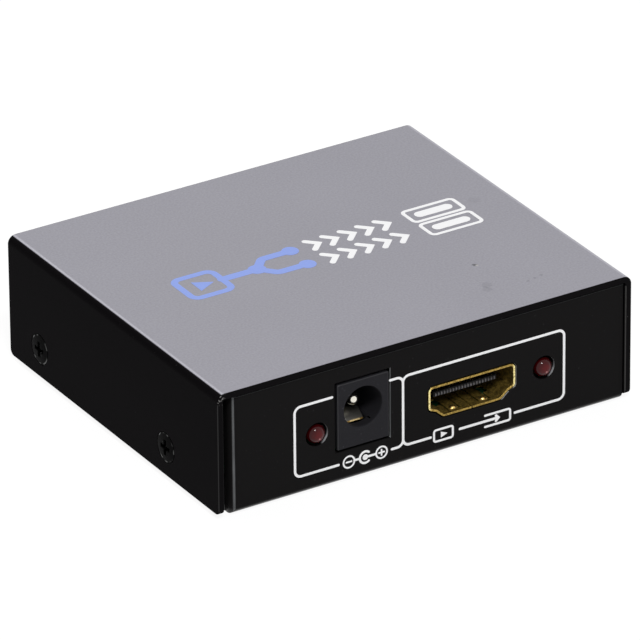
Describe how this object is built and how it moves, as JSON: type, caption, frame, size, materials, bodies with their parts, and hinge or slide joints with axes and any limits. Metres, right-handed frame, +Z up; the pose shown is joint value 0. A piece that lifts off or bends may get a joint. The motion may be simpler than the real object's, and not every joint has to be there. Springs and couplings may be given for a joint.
{
  "type": "video splitter",
  "caption": "Flat sheet metal box that repeats a video input on its outputs, with gold sockets, a barrel power jack and red indicator lights.",
  "frame": {"origin": "middle of the box's footprint, on the underside of its floor", "axes": "+X to the right as seen from the front panel, +Y to the rear panel, +Z up"},
  "size_m": [0.0704, 0.0604, 0.0202],
  "materials": {
    "cover_paint": "satin grey paint on the top, satin black on the side walls",
    "case_black": "satin black paint",
    "screw_black": "black finish",
    "board_green": "green solder mask",
    "plain_steel": "plated steel",
    "jack_plastic": "moulded, matte",
    "plated_metal": "tin plated",
    "leaf_metal": "plated spring bronze",
    "shell_gold": "gold plated sheet",
    "contact_gold": "gold plated",
    "insulator_plastic": "moulded, matte",
    "lens_red": "clear red resin",
    "chip_black": "moulded, matte",
    "ferrite_grey": "pressed ferrite",
    "can_aluminium": "drawn can",
    "crystal_can": "plated can",
    "resistor_black": "glazed ceramic",
    "ceramic_tan": "fired ceramic"
  },
  "bodies": {
    "case": {"top_cover": "cover_paint", "base_chassis": "case_black", "cover_screws": "screw_black", "circuit_board": "board_green", "board_standoffs": "plain_steel", "board_screws": "plain_steel", "jack_housing": "jack_plastic", "jack_pin": "plated_metal", "jack_pin_terminal": "plated_metal", "jack_sleeve_terminal": "plated_metal", "splitter_chip": "chip_black", "splitter_chip_legs": "plated_metal", "memory_chips": "chip_black", "memory_chip_legs": "plated_metal", "regulator": "chip_black", "regulator_legs": "plated_metal", "inductor": "ferrite_grey", "capacitor_cans": "can_aluminium", "capacitor_bases": "chip_black", "crystal": "crystal_can", "chip_resistors": "resistor_black", "chip_capacitors": "ceramic_tan", "input_shell": "shell_gold", "input_insulator": "insulator_plastic", "input_contacts": "contact_gold", "output_1_shell": "shell_gold", "output_1_insulator": "insulator_plastic", "output_1_contacts": "contact_gold", "output_2_shell": "shell_gold", "output_2_insulator": "insulator_plastic", "output_2_contacts": "contact_gold", "power_led_lens": "lens_red", "power_led_legs": "plated_metal", "input_led_lens": "lens_red", "input_led_legs": "plated_metal", "output_1_led_lens": "lens_red", "output_1_led_legs": "plated_metal", "output_2_led_lens": "lens_red", "output_2_led_legs": "plated_metal"},
    "leaf": {"jack_leaf": "leaf_metal"}
  },
  "joints": [
    {"name": "leaf_flex", "type": "hinge", "parent": "case", "child": "leaf", "pos_m": [-0.0106, -0.02065, 0.00755], "axis": [1, 0, 0], "range_deg": [0, 16], "stiffness_Nm_per_rad": 0.03}
  ]
}
